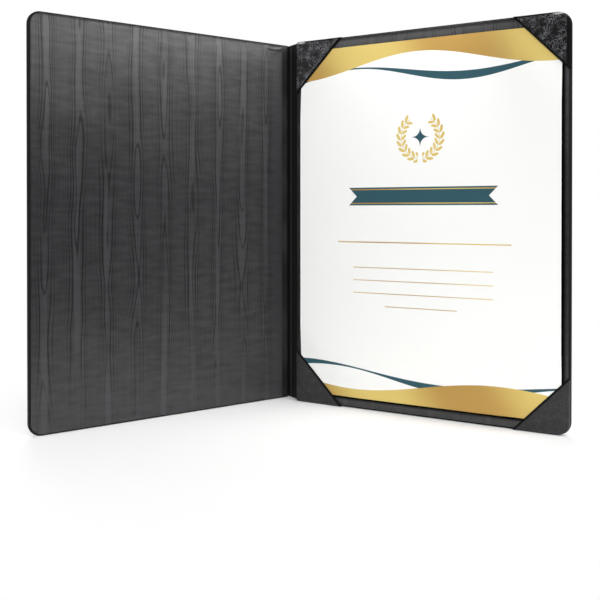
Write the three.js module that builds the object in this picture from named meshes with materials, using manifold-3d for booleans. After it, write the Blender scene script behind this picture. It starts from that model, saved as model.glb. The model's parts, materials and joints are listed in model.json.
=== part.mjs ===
// A book-style certificate holder in black leatherette, standing open in a V on its lower edges.
// Millimetres, +Z up. The covers open towards -Y and the origin is at the centre of the footprint.
import * as THREE from 'three';
import { mergeVertices } from 'three/addons/utils/BufferGeometryUtils.js';
import Module from 'manifold-3d';

// The sheet that the holder is made for, and the margins that show around it
const SHEET_WIDTH = 215.9;
const SHEET_HEIGHT = 279.4;
const SHEET_THICKNESS = 0.3;
const SPINE_MARGIN = 5.5;
const FORE_MARGIN = 5.9;
const END_MARGIN = 9;
const SHEET_PLAY = 0.15;

// Layers of a cover, from the outside in
const SKIN = 0.7;
const PAD = 1.3;
const BOARD = 2;
const CARD = 0.4;
const CLOTH = 0.3;
const GLUE_LINE = 0.1;

// Outline of a cover
const CORNER_RADIUS = 9.5;
const CORNER_STEPS = 5;
const EDGE_ROUND = 2;
const EDGE_STEPS = 4;
const TURN_IN = 14;
const LINING_INSET = 1.6;

// Spine, creases and the strip that lines them
const SPINE_WIDTH = 17.4;
const SPINE_INSET = 0.5;
const CREASE_GAP = 0.3;
const CREASE_STEPS = 5;
const CREASE_SETBACK = 2.3;
const STRIP = 0.6;
const STRIP_BORDER = 7.3;
const STRIP_TUCK = 10;

// Corner pockets
const FORE_POCKET_LEG = 41.8;
const SPINE_POCKET_LEG = 44.8;
const POCKET_LEATHER = 0.7;
const POCKET_INSET = 0.2;
const HEM_WIDTH = 3.2;
const HEM_RISE = 0.4;

// How the holder stands: the turn of each cover from the X axis, and the bend of the back crease
const COVER_TURN = 35.5;
const BACK_BEND = -27.5;

// The front crease bends as far as brings the front cover to the same turn as the back cover
const FRONT_BEND = 2 * COVER_TURN - BACK_BEND;

const COVER_WIDTH = SPINE_MARGIN + SHEET_WIDTH + FORE_MARGIN;
const COVER_HEIGHT = SHEET_HEIGHT + 2 * END_MARGIN;

// Distances from a crease, along its cover
const SKIN_START = SKIN / 2 + CREASE_GAP;
const COVER_START = CREASE_SETBACK;
const CORE_START = COVER_START + STRIP + GLUE_LINE;
const COVER_END = COVER_START + COVER_WIDTH;

// What lies inside the skin keeps this far in from the edges, and its rim is rounded to match
const CORE_INSET = SKIN + GLUE_LINE;
const CORE_ROUND = EDGE_ROUND - CORE_INSET;

// Depths of the layers below the outer face of a cover
const PAD_DEPTH = SKIN + GLUE_LINE;
const BOARD_DEPTH = PAD_DEPTH + PAD + GLUE_LINE;
const TURN_IN_DEPTH = BOARD_DEPTH + BOARD + GLUE_LINE;
const SHELL_DEPTH = TURN_IN_DEPTH + SKIN;
const CARD_DEPTH = SHELL_DEPTH + GLUE_LINE;
const CLOTH_DEPTH = CARD_DEPTH + CARD + GLUE_LINE;
const SHEET_DEPTH = CLOTH_DEPTH + CLOTH + SHEET_PLAY;
const POCKET_DEPTH = SHEET_DEPTH + SHEET_THICKNESS + SHEET_PLAY;
const HEM_DEPTH = POCKET_DEPTH + POCKET_LEATHER;

// Reach of a cut past the face that it goes through
const REACH = 5;

// Which side of the spine a cover lies on when the holder is open flat
const FRONT = -1;
const BACK = 1;

const LEATHERETTE = { color: 0x2b2b2d, roughness: 0.55, metalness: 0 };
const POCKET_LEATHERETTE = { color: 0x303033, roughness: 0.45, metalness: 0 };
const MOIRE_CLOTH = { color: 0x6e6f73, roughness: 0.6, metalness: 0 };
const GREY_BOARD = { color: 0x8d877c, roughness: 0.9, metalness: 0 };
const FOAM = { color: 0xd9d9d4, roughness: 0.95, metalness: 0 };
const PAPER = { color: 0xfbfaf4, roughness: 0.8, metalness: 0 };

const wasm = await Module();
wasm.setup();

/** Turns a closed geometry into a solid that can be joined and cut. */
function solidOf(geometry) {
  geometry.deleteAttribute('normal');
  geometry.deleteAttribute('uv');
  const merged = mergeVertices(geometry);
  const vertProperties = new Float32Array(merged.attributes.position.array);
  const triVerts = new Uint32Array(merged.index.array);
  return new wasm.Manifold(new wasm.Mesh({ numProp: 3, vertProperties, triVerts }));
}

/** Makes the named mesh of one piece from its solid. */
function piece(name, solid, finish) {
  const { vertProperties, triVerts } = solid.getMesh();
  const geometry = new THREE.BufferGeometry();
  geometry.setAttribute('position', new THREE.BufferAttribute(vertProperties, 3));
  geometry.setIndex(new THREE.BufferAttribute(triVerts, 1));
  geometry.computeVertexNormals();
  const mesh = new THREE.Mesh(geometry, new THREE.MeshStandardMaterial(finish));
  mesh.name = name;
  return mesh;
}

/** The outline of a cover in its own plane, drawn in by an inset, with round corners at the fore-edge. */
function coverOutline(side, start, inset) {
  const end = COVER_END - inset;
  const top = COVER_HEIGHT - inset;
  const radius = CORNER_RADIUS - inset;
  const outline = new THREE.Shape();
  outline.moveTo(start, inset);
  outline.lineTo(end - radius, inset);
  outline.absarc(end - radius, inset + radius, radius, -Math.PI / 2, 0);
  outline.absarc(end - radius, top - radius, radius, 0, Math.PI / 2);
  outline.lineTo(start, top);
  return new THREE.Shape(outline.getPoints(CORNER_STEPS).map(({ x, y }) => new THREE.Vector2(side * x, y)));
}

/** A straight-sided outline through points in the plane of a cover. */
function polygon(side, points) {
  return new THREE.Shape(points.map(([x, y]) => new THREE.Vector2(side * x, y)));
}

/** A rectangle in the plane of a cover. */
function rectangle(side, start, end, low, high) {
  return polygon(side, [
    [start, low],
    [end, low],
    [end, high],
    [start, high],
  ]);
}

/** A slab of that outline between two depths below the outer face of a cover. */
function slab(outline, from, to) {
  const geometry = new THREE.ExtrudeGeometry(outline, { depth: to - from, bevelEnabled: false });
  geometry.rotateX(Math.PI / 2);
  geometry.translate(0, SKIN / 2 - from, 0);
  return solidOf(geometry);
}

/** A slab of a cover's outline whose outer rim is rounded, cut square at the spine side. */
function roundedSlab(side, start, inset, from, to, round) {
  const geometry = new THREE.ExtrudeGeometry(coverOutline(side, start - REACH, inset), {
    depth: to - from,
    bevelThickness: round,
    bevelSize: round,
    bevelOffset: -round,
    bevelSegments: EDGE_STEPS,
  });
  geometry.rotateX(Math.PI / 2);
  geometry.translate(0, SKIN / 2 - from - round, 0);
  const trim = rectangle(side, start, COVER_END + REACH, -REACH, COVER_HEIGHT + REACH);
  return solidOf(geometry).intersect(slab(trim, from, to));
}

/** A bar of that cross-section, upright between two heights. */
function upright(section, low, high) {
  const geometry = new THREE.ExtrudeGeometry(section, {
    depth: high - low,
    curveSegments: CREASE_STEPS,
    bevelEnabled: false,
  });
  geometry.translate(0, 0, low);
  return solidOf(geometry);
}

/** The skin of one cover: an outer face wrapped round the edges and turned in, open at the spine side. */
function coverSkin(side) {
  const before = SKIN_START - REACH;
  const shell = roundedSlab(side, SKIN_START, 0, 0, SHELL_DEPTH, EDGE_ROUND);
  const core = roundedSlab(side, before, SKIN, SKIN, TURN_IN_DEPTH, EDGE_ROUND - SKIN);
  const crease = rectangle(side, before, COVER_START, -REACH, COVER_HEIGHT + REACH);
  const strip = rectangle(
    side,
    before,
    COVER_START + STRIP_BORDER + STRIP_TUCK + GLUE_LINE,
    SKIN,
    COVER_HEIGHT - SKIN,
  );
  const opening = rectangle(side, before, COVER_END - TURN_IN, TURN_IN, COVER_HEIGHT - TURN_IN);
  return shell
    .subtract(core)
    .subtract(slab(crease, SKIN, SHELL_DEPTH + REACH))
    .subtract(slab(strip, BOARD_DEPTH, SHELL_DEPTH + REACH))
    .subtract(slab(opening, BOARD_DEPTH, SHELL_DEPTH + REACH));
}

/** The thin padding between skin and board, rounded with the edge of the skin. */
function coverPad(side) {
  return roundedSlab(side, CORE_START, CORE_INSET, PAD_DEPTH, PAD_DEPTH + PAD, CORE_ROUND);
}

/** The stiff board of one cover. */
function coverBoard(side) {
  return slab(coverOutline(side, CORE_START, CORE_INSET), BOARD_DEPTH, BOARD_DEPTH + BOARD);
}

/** The part of the hinge strip on one cover: down the edge of the board, and tucked under the lining. */
function hingeStrip(side) {
  const tuckEnd = COVER_START + STRIP_BORDER + STRIP_TUCK;
  const section = [
    [COVER_START, PAD_DEPTH],
    [COVER_START + STRIP, PAD_DEPTH],
    [COVER_START + STRIP, TURN_IN_DEPTH],
    [tuckEnd, TURN_IN_DEPTH],
    [tuckEnd, TURN_IN_DEPTH + STRIP],
    [COVER_START, TURN_IN_DEPTH + STRIP],
  ].map(([along, depth]) => [along, SKIN / 2 - depth]);
  const insideSkin = roundedSlab(side, COVER_START, CORE_INSET, PAD_DEPTH, SHELL_DEPTH, CORE_ROUND);
  return upright(polygon(side, section), 0, COVER_HEIGHT).intersect(insideSkin);
}

/** One flat layer of the lining, from a depth, of a thickness. */
function liningLayer(side, depth, thickness) {
  return slab(coverOutline(side, COVER_START + STRIP_BORDER, LINING_INSET), depth, depth + thickness);
}

/** The pieces that both covers have. */
function coverPieces(side, label) {
  return [
    piece(`${label}_skin`, coverSkin(side), LEATHERETTE),
    piece(`${label}_pad`, coverPad(side), FOAM),
    piece(`${label}_board`, coverBoard(side), GREY_BOARD),
    piece(`${label}_hinge_strip`, hingeStrip(side), LEATHERETTE),
    piece(`${label}_lining_card`, liningLayer(side, CARD_DEPTH, CARD), GREY_BOARD),
    piece(`${label}_lining`, liningLayer(side, CLOTH_DEPTH, CLOTH), MOIRE_CLOTH),
  ];
}

/** The skin of the spine, with half-round ends centred on the two creases. */
function spineSkin() {
  const radius = SKIN / 2;
  const section = new THREE.Shape();
  section.absarc(0, 0, radius, -Math.PI / 2, Math.PI / 2);
  section.absarc(-SPINE_WIDTH, 0, radius, Math.PI / 2, 1.5 * Math.PI);
  return upright(section, SPINE_INSET, COVER_HEIGHT - SPINE_INSET);
}

/** The part of the hinge strip that lines the spine, short of the creases so that they can fold. */
function spineLiner() {
  const inset = SKIN + CREASE_GAP;
  const outer = -SKIN / 2 - GLUE_LINE;
  const section = rectangle(FRONT, inset, SPINE_WIDTH - inset, outer - STRIP, outer);
  return upright(section, SPINE_INSET, COVER_HEIGHT - SPINE_INSET);
}

/** A right-angled corner of the back cover, out to a diagonal that meets both edges at that leg. */
function cornerWedge(atFore, atTop, leg) {
  const corner = [atFore ? COVER_END : COVER_START, atTop ? COVER_HEIGHT : 0];
  const inward = [atFore ? -1 : 1, atTop ? -1 : 1];
  const points = [
    [-REACH, -REACH],
    [leg + REACH, -REACH],
    [-REACH, leg + REACH],
  ];
  return polygon(
    BACK,
    points.map((point) => point.map((reach, axis) => corner[axis] + inward[axis] * reach)),
  );
}

/** A corner pocket: a triangle turned down round the edges of the lining, with a hem on its diagonal. */
function cornerPocket(atFore, atTop) {
  const outer = coverOutline(BACK, COVER_START + POCKET_INSET, POCKET_INSET);
  const wall = POCKET_INSET + POCKET_LEATHER;
  const inner = coverOutline(BACK, COVER_START + wall, wall);
  const leg = atFore ? FORE_POCKET_LEG : SPINE_POCKET_LEG;
  const wedge = cornerWedge(atFore, atTop, leg);
  const insideHem = cornerWedge(atFore, atTop, leg - HEM_WIDTH * Math.SQRT2);
  const face = slab(outer, CARD_DEPTH, HEM_DEPTH).subtract(slab(inner, CARD_DEPTH - REACH, POCKET_DEPTH));
  const hem = slab(outer, HEM_DEPTH - POCKET_LEATHER / 2, HEM_DEPTH + HEM_RISE);
  return face
    .add(hem.subtract(slab(insideHem, POCKET_DEPTH - REACH, HEM_DEPTH + REACH)))
    .intersect(slab(wedge, CARD_DEPTH - REACH, HEM_DEPTH + REACH));
}

/** The sheet that the pockets hold by its corners. */
function sheet() {
  const start = COVER_START + SPINE_MARGIN;
  const outline = rectangle(BACK, start, start + SHEET_WIDTH, END_MARGIN, END_MARGIN + SHEET_HEIGHT);
  return slab(outline, SHEET_DEPTH, SHEET_DEPTH + SHEET_THICKNESS);
}

const frontCover = new THREE.Group();
frontCover.add(...coverPieces(FRONT, 'front'));
frontCover.position.x = -SPINE_WIDTH;
frontCover.rotation.z = THREE.MathUtils.degToRad(FRONT_BEND);

const spine = new THREE.Group();
spine.add(piece('spine_skin', spineSkin(), LEATHERETTE));
spine.add(piece('spine_liner', spineLiner(), LEATHERETTE));
spine.add(frontCover);
spine.rotation.z = THREE.MathUtils.degToRad(BACK_BEND);

const backCover = new THREE.Group();
backCover.add(...coverPieces(BACK, 'back'));
backCover.add(piece('pocket_top_spine', cornerPocket(false, true), POCKET_LEATHERETTE));
backCover.add(piece('pocket_bottom_spine', cornerPocket(false, false), POCKET_LEATHERETTE));
backCover.add(piece('pocket_top_fore', cornerPocket(true, true), POCKET_LEATHERETTE));
backCover.add(piece('pocket_bottom_fore', cornerPocket(true, false), POCKET_LEATHERETTE));
backCover.add(piece('certificate', sheet(), PAPER));
backCover.add(spine);
backCover.rotation.z = THREE.MathUtils.degToRad(-COVER_TURN);

// The whole holder is moved so that the centre of its footprint is the origin
const holder = new THREE.Group();
holder.add(backCover);
holder.updateMatrixWorld(true);
const footprint = new THREE.Box3().setFromObject(holder, true).getCenter(new THREE.Vector3());
holder.position.set(-footprint.x, -footprint.y, 0);

export default holder;
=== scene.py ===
"""A book-style certificate holder in black leatherette, standing open on its lower edges.

Lengths are in millimetres until a mesh is made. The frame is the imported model's: +Z is up, the covers open
towards -Y, and the origin is at the centre of the footprint, on the floor.
"""

import json
import logging
import math
from dataclasses import dataclass
from enum import Enum
from typing import Union

import bmesh
import bpy
import numpy as np
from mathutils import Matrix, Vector


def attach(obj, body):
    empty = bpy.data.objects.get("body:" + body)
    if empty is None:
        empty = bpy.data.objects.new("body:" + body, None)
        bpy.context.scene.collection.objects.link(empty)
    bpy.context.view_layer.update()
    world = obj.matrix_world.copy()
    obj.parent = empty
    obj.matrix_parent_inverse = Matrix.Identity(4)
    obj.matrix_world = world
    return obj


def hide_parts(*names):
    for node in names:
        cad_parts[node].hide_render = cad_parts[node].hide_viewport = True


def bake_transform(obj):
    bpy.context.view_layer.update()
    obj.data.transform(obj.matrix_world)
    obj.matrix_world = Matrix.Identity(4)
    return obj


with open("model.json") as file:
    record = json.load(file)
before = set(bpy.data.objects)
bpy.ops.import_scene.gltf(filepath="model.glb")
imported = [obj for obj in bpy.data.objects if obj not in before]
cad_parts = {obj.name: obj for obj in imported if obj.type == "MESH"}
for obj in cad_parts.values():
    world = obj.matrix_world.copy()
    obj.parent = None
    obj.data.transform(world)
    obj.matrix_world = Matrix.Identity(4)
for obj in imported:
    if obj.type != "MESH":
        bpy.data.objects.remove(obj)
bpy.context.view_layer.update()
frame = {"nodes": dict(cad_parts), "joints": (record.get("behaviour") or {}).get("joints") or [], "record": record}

log = logging.getLogger("certificate_holder")

MM = 0.001
TURN = 2 * math.pi
QUARTER = math.pi / 2
ARC_STEP = math.radians(9)
MERGE_DISTANCE = 0.001 * MM
INK_BLUR = 0.15
PATTERN = "pattern_mm"


class Side(Enum):
    """Which cover a piece belongs to. The value is the way that it lies from the spine when open flat."""

    FRONT = -1
    BACK = 1

    @property
    def label(self) -> str:
        """The side's name as pieces and bodies have it."""
        return self.name.lower()

    @property
    def body(self) -> str:
        """The CAD body of the cover on this side."""
        return f"{self.label}_cover"


class Edge(Enum):
    """How the edge of a closed skin turns where two flat faces of it meet."""

    SOFT = math.radians(80)
    CRISP = math.radians(35)


def smooth(share: np.ndarray) -> np.ndarray:
    """A soft step: three times the square less twice the cube of a share that is held between 0 and 1."""
    held = np.clip(share, 0.0, 1.0)
    return held * held * (3.0 - 2.0 * held)


def bell(offset: np.ndarray, width: float) -> np.ndarray:
    """A bell: e to the power of minus the square of the offset over the width."""
    return np.exp(-((offset / width) ** 2))


def ripple(x: np.ndarray, y: np.ndarray, wavelength: float, seed: int, waves: int = 9) -> np.ndarray:
    """An uneven ripple over a plane: the mean of sine waves, each with its own direction, length and phase.

    Args:
        x: distances across the plane.
        y: distances up the plane.
        wavelength: the middle length of the waves.
        seed: which ripple it is.
        waves: how many sine waves are summed.

    Returns:
        Heights, mostly between -0.5 and 0.5.
    """
    draw = np.random.default_rng(seed)
    heading = draw.uniform(0.0, TURN, waves)
    length = wavelength * draw.uniform(0.7, 1.5, waves)
    phase = draw.uniform(0.0, TURN, waves)
    travel = x[..., None] * np.cos(heading) + y[..., None] * np.sin(heading)
    return np.sin(TURN * travel / length + phase).mean(axis=-1)


def filleted_path(
    corners: list[tuple[float, float]], radii: list[float], spacing: float, closed: bool
) -> tuple[np.ndarray, np.ndarray]:
    """Walks along a polygon whose corners are rounded.

    Each corner is an arc that touches both of its sides, and each side is a straight run between two arcs.

    Args:
        corners: the sharp corners, in the order of the walk.
        radii: the radius of the arc at each corner, which is not used at the ends of an open walk.
        spacing: the longest step on a straight run.
        closed: whether the walk comes back to its first corner.

    Returns:
        The points of the walk, and at each point the unit normal on its right-hand side.
    """
    points = np.array(corners, float)
    last = len(points) - 1
    ways = np.roll(points, -1, axis=0) - points
    ways /= np.linalg.norm(ways, axis=1, keepdims=True)
    if not closed:
        ways[last] = ways[last - 1]
    arcs: list[np.ndarray] = []
    sides: list[np.ndarray] = []
    for index, here in enumerate(points):
        after = ways[index]
        before = ways[index - 1] if closed or index > 0 else after
        bend = math.atan2(before[0] * after[1] - before[1] * after[0], float(before @ after))
        steps = max(3, int(abs(bend) / ARC_STEP)) if bend else 1
        angle = np.linspace(0.0, bend, steps)[:, None]
        right = np.array([before[1], -before[0]])
        side = right * np.cos(angle) + before * np.sin(angle)
        radius = math.copysign(radii[index], bend)
        hub = here - before * radius * math.tan(bend / 2) - right * radius
        arcs.append(hub + side * radius)
        sides.append(side)
    walk: list[np.ndarray] = []
    normals: list[np.ndarray] = []
    for index, arc in enumerate(arcs):
        start, stop = arc[-1], arcs[(index + 1) % len(arcs)][0]
        steps = math.ceil(np.linalg.norm(stop - start) / spacing) if closed or index < last else 0
        share = np.linspace(0.0, 1.0, max(1, steps) + 1)[1:-1, None]
        walk += [arc, start + share * (stop - start)]
        normals += [sides[index], np.repeat(sides[index][-1:], len(share), axis=0)]
    return np.concatenate(walk), np.concatenate(normals)


def capped(grid: np.ndarray) -> np.ndarray:
    """Adds a row to both ends of a grid, all at the mean of the end row, so that the ends close."""
    first, last = (np.broadcast_to(grid[row].mean(axis=0), grid[:1].shape) for row in (0, -1))
    return np.concatenate([first, grid, last])


def grid_faces(rows: int, columns: int, wrap: bool) -> np.ndarray:
    """The four-cornered faces of a grid of points.

    Args:
        rows: the number of rows of points.
        columns: the number of points in a row.
        wrap: whether the last column joins the first one.

    Returns:
        One line of four point numbers for each face.
    """
    across = columns if wrap else columns - 1
    row, column = np.meshgrid(np.arange(rows - 1), np.arange(across), indexing="ij")
    following = (column + 1) % columns
    here = row * columns
    corners = [here + column, here + following, here + columns + following, here + columns + column]
    return np.stack(corners, axis=-1).reshape(-1, 4)


def make_piece(
    name: str,
    points: np.ndarray,
    faces: np.ndarray,
    pattern: np.ndarray,
    finish: bpy.types.Material,
    edge: Edge = Edge.SOFT,
) -> bpy.types.Object:
    """Makes a closed skin into an object, with its doubles merged and its faces turned outwards.

    Args:
        name: the name of the piece.
        points: places in the frame, in metres.
        faces: point numbers of each face.
        pattern: where each point lies on the flat piece, in millimetres, for patterns that follow it.
        finish: its material.
        edge: how sharply its edges turn.

    Returns:
        The object, at the origin.
    """
    mesh = bpy.data.meshes.new(name)
    mesh.from_pydata(points.reshape(-1, 3).tolist(), [], faces.tolist())
    layer = mesh.attributes.new(PATTERN, "FLOAT_VECTOR", "POINT")
    layer.data.foreach_set("vector", pattern.reshape(-1, 3).astype(np.float32).ravel())
    shell = bmesh.new()
    shell.from_mesh(mesh)
    bmesh.ops.remove_doubles(shell, verts=shell.verts, dist=MERGE_DISTANCE)
    bmesh.ops.dissolve_degenerate(shell, edges=shell.edges, dist=MERGE_DISTANCE)
    bmesh.ops.recalc_face_normals(shell, faces=shell.faces)
    shell.to_mesh(mesh)
    shell.free()
    mesh.polygons.foreach_set("use_smooth", np.ones(len(mesh.polygons), bool))
    mesh.set_sharp_from_angle(angle=edge.value)
    mesh.materials.append(finish)
    piece = bpy.data.objects.new(name, mesh)
    bpy.context.scene.collection.objects.link(piece)
    log.info("%s: %d faces", name, len(mesh.polygons))
    return piece


def linear(colour: str) -> tuple[float, float, float, float]:
    """Turns an sRGB hex colour into the linear colour that a shader takes."""
    parts = [int(colour[i : i + 2], 16) / 255 for i in (1, 3, 5)]
    return (*(p / 12.92 if p <= 0.04045 else ((p + 0.055) / 1.055) ** 2.4 for p in parts), 1.0)


def add_node(
    tree: bpy.types.NodeTree, kind: str, settings: dict | None = None, inputs: dict | None = None
) -> bpy.types.Node:
    """Adds a shader node to a tree, with its settings and with what feeds it.

    Args:
        tree: the tree that gets the node.
        kind: Blender's name for the kind of node, less the words that all kinds start with.
        settings: the node's own settings by name.
        inputs: what each socket takes, by name or number: a constant, a hex colour, a field, a socket, or a
            node, whose first output it takes.

    Returns:
        The node.
    """
    node = tree.nodes.new(f"ShaderNode{kind}")
    for key, value in (settings or {}).items():
        setattr(node, key, value)
    for key, value in (inputs or {}).items():
        if isinstance(value, Field):
            value = value.socket
        elif isinstance(value, bpy.types.Node):
            value = value.outputs[0]
        if isinstance(value, bpy.types.NodeSocket):
            tree.links.new(value, node.inputs[key])
        else:
            node.inputs[key].default_value = linear(value) if isinstance(value, str) else value
    return node


@dataclass(frozen=True)
class Field:
    """A number that varies over a surface, kept as the socket that gives it."""

    tree: bpy.types.NodeTree
    socket: bpy.types.NodeSocket

    def then(self, operation: str, *others: "Number") -> "Field":
        """The field after one step of arithmetic with other fields or numbers."""
        inputs = dict(enumerate((self, *others)))
        return Field(self.tree, add_node(self.tree, "Math", {"operation": operation}, inputs).outputs[0])

    def __add__(self, other: "Number") -> "Field":
        """The sum with another field or number."""
        return self.then("ADD", other)

    def __sub__(self, other: "Number") -> "Field":
        """The difference from another field or number."""
        return self.then("SUBTRACT", other)

    def __mul__(self, other: "Number") -> "Field":
        """The product with another field or number."""
        return self.then("MULTIPLY", other)

    def __truediv__(self, other: "Number") -> "Field":
        """The quotient by another field or number."""
        return self.then("DIVIDE", other)

    def __or__(self, other: "Number") -> "Field":
        """The larger of the field and another field or number."""
        return self.then("MAXIMUM", other)

    def __abs__(self) -> "Field":
        """The size without its sign."""
        return self.then("ABSOLUTE")

    def wave(self, length: float) -> "Field":
        """A cosine of that wavelength over the field."""
        return (self * (TURN / length)).then("COSINE")

    def step(self, low: float, high: float) -> "Field":
        """A soft step over the field, which may rise or fall.

        Args:
            low: the value where the step is 0, and past it.
            high: the value where the step is 1, and past it.

        Returns:
            The step, from 0 to 1.
        """
        inputs = {"Value": self, "From Min": min(low, high), "From Max": max(low, high)}
        node = add_node(self.tree, "MapRange", {"interpolation_type": "SMOOTHSTEP"}, inputs)
        rising = Field(self.tree, node.outputs["Result"])
        return rising if low < high else (rising * -1.0) + 1.0

    def under(self, edge: float) -> "Field":
        """1 where the field is under an edge of the print, and 0 past it."""
        return self.step(edge + INK_BLUR, edge - INK_BLUR)

    def line(self, centre: float, width: float) -> "Field":
        """1 on a printed line of that width where the field passes a value, and 0 off it."""
        return abs(self - centre).under(width / 2)


Number = Union[Field, bpy.types.NodeSocket, float]


@dataclass(frozen=True)
class Finish:
    """What all finishes share: a name, the making of a material, and the places that patterns lie on."""

    name: str

    def surface(self, tree: bpy.types.NodeTree) -> dict:
        """What the main shader's sockets take, which each kind of finish works out."""
        raise NotImplementedError

    def make(self) -> bpy.types.Material:
        """Makes the material, with one main shader that takes what the surface gives.

        Returns:
            The material.
        """
        material = bpy.data.materials.new(self.name)
        material.use_nodes = True
        tree = material.node_tree
        tree.nodes.clear()
        shader = add_node(tree, "BsdfPrincipled", inputs=self.surface(tree))
        add_node(tree, "OutputMaterial", inputs={"Surface": shader})
        return material

    def flat(self, tree: bpy.types.NodeTree) -> bpy.types.NodeSocket:
        """The place on the flat piece, in millimetres."""
        return add_node(tree, "Attribute", {"attribute_name": PATTERN}).outputs["Vector"]

    def axes(self, tree: bpy.types.NodeTree) -> dict[str, Field]:
        """The place on the flat piece as three fields: X across it, Y up it, and Z as the piece has it."""
        split = add_node(tree, "SeparateXYZ", inputs={"Vector": self.flat(tree)})
        return {axis: Field(tree, split.outputs[axis]) for axis in "XYZ"}

    def place(self, tree: bpy.types.NodeTree, size: float | tuple[float, float]) -> bpy.types.Node:
        """Coordinates for a texture whose features have a size.

        Args:
            tree: the tree that gets the nodes.
            size: a feature's size on the object, or its width and height where it follows the flat piece.

        Returns:
            The node that gives the coordinates.
        """
        if isinstance(size, tuple):
            inputs = {"Vector": self.flat(tree), "Scale": (1.0 / size[0], 1.0 / size[1], 1.0)}
        else:
            spot = add_node(tree, "TexCoord").outputs["Object"]
            inputs = {"Vector": spot, "Scale": (1.0 / (size * MM),) * 3}
        return add_node(tree, "Mapping", inputs=inputs)

    def patches(self, tree: bpy.types.NodeTree, size: float | tuple[float, float], detail: float) -> Field:
        """Soft random patches, from 0 to 1.

        Args:
            tree: the tree that gets the nodes.
            size: a patch's size on the object, or its width and height where it follows the flat piece.
            detail: how many finer layers they hold.

        Returns:
            The field of the patches.
        """
        inputs = {"Vector": self.place(tree, size), "Scale": 1.0, "Detail": detail}
        return Field(tree, add_node(tree, "TexNoise", inputs=inputs).outputs["Fac"])


@dataclass(frozen=True)
class Leatherette(Finish):
    """Calendered polyurethane leatherette over foam: matt, with a fine embossed grain and soft blotches."""

    dark: str = "#303031"
    light: str = "#343435"
    # Painted shade: the colour of the turned-in part of a wrapped skin, darker than the skin itself
    edge: str = "#0d0d0e"
    wrapped: str | None = None
    polish: tuple[float, float] = (-0.3, 0.4)
    turned: tuple[float, float] = (2.4, 3.8)
    roughness: float = 0.5
    uneven: float = 0.05
    rubbed_smooth: float = 0.2
    edge_rough: float = 0.3
    gleam: float = 0.25
    blotch: float = 22.0
    # The real grain is about 0.4 mm, and is drawn coarser so that it shows
    grain: float = 1.1
    grain_height: float = 0.06

    def surface(self, tree: bpy.types.NodeTree) -> dict:
        """Blotches for the colour and the roughness, and cells of grain for the bump.

        On a wrapped piece one of the pattern's axes says how far the skin has gone round the edge: the outer
        rounding is worn smoother and gleams, and the part that is turned in is painted dark, as painted shade of
        the rim.

        Args:
            tree: the tree that gets the nodes.

        Returns:
            What the main shader's sockets take.
        """
        blotches = self.patches(tree, self.blotch, 3.0)
        tints = {"Color1": self.dark, "Color2": self.light}
        colour = add_node(tree, "MixRGB", inputs={"Fac": blotches.step(0.3, 0.7), **tints})
        worn = blotches * self.uneven + (self.roughness - self.uneven / 2)
        if self.wrapped is not None:
            wrap = self.axes(tree)[self.wrapped]
            inside = wrap.step(*self.turned)
            rubbed = wrap.step(*self.polish) * (inside * -1.0 + 1.0)
            # The turned-in part takes the edge colour: painted shade of the rim and its inner rounding
            colour = add_node(tree, "MixRGB", inputs={"Fac": inside, "Color1": colour, "Color2": self.edge})
            worn = worn - rubbed * self.rubbed_smooth + inside * self.edge_rough
        inputs = {"Vector": self.place(tree, self.grain), "Scale": 1.0, "Smoothness": 0.6}
        cells = add_node(tree, "TexVoronoi", {"feature": "SMOOTH_F1"}, inputs).outputs["Distance"]
        relief = {"Height": cells, "Strength": 0.35, "Distance": self.grain_height * MM}
        return {
            "Base Color": colour,
            "Roughness": worn,
            "Specular IOR Level": self.gleam,
            "Normal": add_node(tree, "Bump", inputs=relief),
        }


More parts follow.
